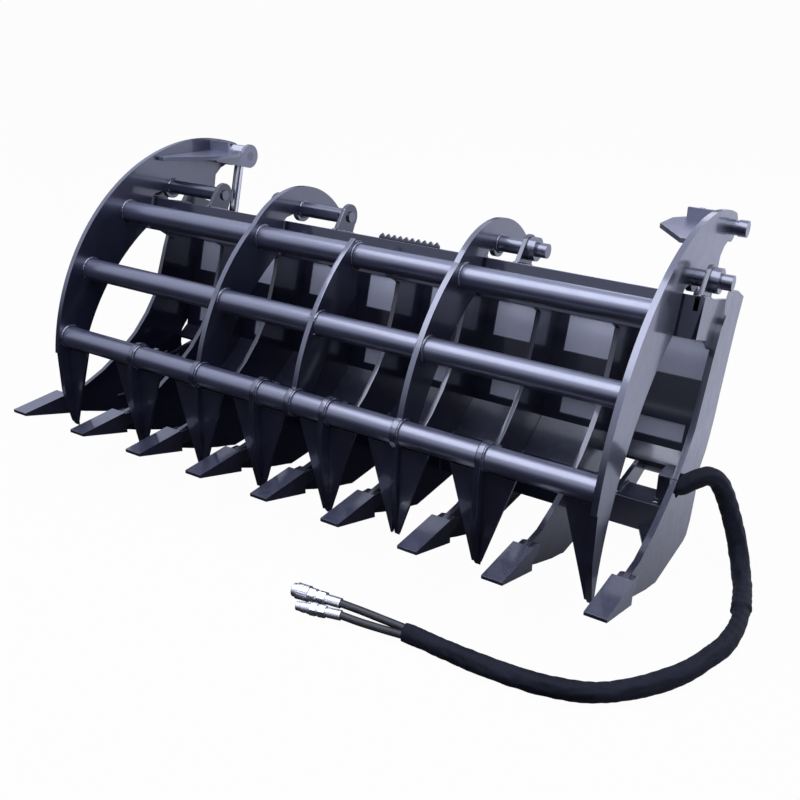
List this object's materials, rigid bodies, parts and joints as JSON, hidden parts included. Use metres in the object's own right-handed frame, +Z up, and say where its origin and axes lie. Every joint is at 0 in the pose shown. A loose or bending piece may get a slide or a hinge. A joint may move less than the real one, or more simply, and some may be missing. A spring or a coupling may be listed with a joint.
{
  "type": "grass fork grapple",
  "caption": "Skid steer fork grapple: curved tines with wedge teeth on a welded frame, and a tubular clamp of arched plates that two hydraulic cylinders open.",
  "frame": {"origin": "on the ground under the middle of the object, at the centre of its length and width without the free hoses", "axes": "+X across the machine, to the right of a viewer in front of the tines (the hose side), +Y back towards the carrier, +Z up"},
  "size_m": [2.099, 1.1471, 0.8379],
  "materials": {
    "frame_paint": "glossy near-black blue paint",
    "clamp_paint": "glossy near-black blue paint",
    "tooth_paint": "painted steel, a little worn at the edges",
    "pin_steel": "dark painted pin steel",
    "rod_chrome": "hard chrome, polished",
    "coupler_zinc": "bright zinc plate",
    "hose_rubber": "smooth hydraulic hose cover",
    "sleeve_cloth": "woven nylon abrasion sleeve"
  },
  "bodies": {
    "frame": {"tine_1": "frame_paint", "tine_2": "frame_paint", "tine_3": "frame_paint", "tine_4": "frame_paint", "tine_5": "frame_paint", "tine_6": "frame_paint", "tine_7": "frame_paint", "tine_8": "frame_paint", "tine_9": "frame_paint", "tooth_1": "tooth_paint", "tooth_2": "tooth_paint", "tooth_3": "tooth_paint", "tooth_4": "tooth_paint", "tooth_5": "tooth_paint", "tooth_6": "tooth_paint", "tooth_7": "tooth_paint", "tooth_8": "tooth_paint", "tooth_9": "tooth_paint", "top_beam": "frame_paint", "lower_beam": "frame_paint", "back_sheet": "frame_paint", "window_frame": "frame_paint", "ledge": "frame_paint", "quick_attach_plate": "frame_paint", "step_strip": "frame_paint", "pivot_ears": "frame_paint", "pivot_pins": "pin_steel", "end_gussets": "frame_paint", "cylinder_lugs": "frame_paint", "base_pins": "pin_steel", "corner_gussets": "frame_paint", "hose_block": "frame_paint", "hose_sleeve": "sleeve_cloth", "hose_upper": "hose_rubber", "hose_lower": "hose_rubber", "coupler_upper": "coupler_zinc", "coupler_lower": "coupler_zinc"},
    "clamp": {"clamp_plate_1": "clamp_paint", "clamp_plate_2": "clamp_paint", "clamp_plate_3": "clamp_paint", "clamp_plate_4": "clamp_paint", "clamp_plate_5": "clamp_paint", "clamp_tube_bottom": "clamp_paint", "clamp_tube_middle": "clamp_paint", "clamp_tube_top": "clamp_paint", "claw_web_1": "clamp_paint", "claw_web_2": "clamp_paint", "claw_web_3": "clamp_paint", "claw_web_4": "clamp_paint", "claw_wings": "clamp_paint", "pivot_sleeves": "clamp_paint", "hook_bracket_left": "clamp_paint", "hook_bracket_right": "clamp_paint", "hook_pins": "pin_steel"},
    "barrel_left": {"barrel_left": "frame_paint", "gland_left": "pin_steel"},
    "rod_left": {"rod_left": "rod_chrome"},
    "barrel_right": {"barrel_right": "frame_paint", "gland_right": "pin_steel"},
    "rod_right": {"rod_right": "rod_chrome"}
  },
  "joints": [
    {"name": "clamp_hinge", "type": "hinge", "parent": "frame", "child": "clamp", "pos_m": [0, 0.16, 0.708], "axis": [-1, 0, 0], "range_deg": [0, 35]},
    {"name": "barrel_left_swing", "type": "hinge", "parent": "frame", "child": "barrel_left", "pos_m": [-0.8, 0.262, 0.14], "axis": [-1, 0, 0], "range_deg": [-0.2, 4.6]},
    {"name": "rod_left_slide", "type": "slide", "parent": "barrel_left", "child": "rod_left", "axis": [0, 0.2902, 0.957], "range_m": [-0.18, 0.005]},
    {"name": "barrel_right_swing", "type": "hinge", "parent": "frame", "child": "barrel_right", "pos_m": [0.8, 0.262, 0.14], "axis": [-1, 0, 0], "range_deg": [-0.2, 4.6]},
    {"name": "rod_right_slide", "type": "slide", "parent": "barrel_right", "child": "rod_right", "axis": [0, 0.2902, 0.957], "range_m": [-0.18, 0.005]}
  ],
  "couplings": [
    {"joint": "barrel_left_swing", "follows": "clamp_hinge", "ratio": 0.122},
    {"joint": "rod_left_slide", "follows": "clamp_hinge", "m_per_rad": -0.2818},
    {"joint": "barrel_right_swing", "follows": "clamp_hinge", "ratio": 0.122},
    {"joint": "rod_right_slide", "follows": "clamp_hinge", "m_per_rad": -0.2818}
  ]
}
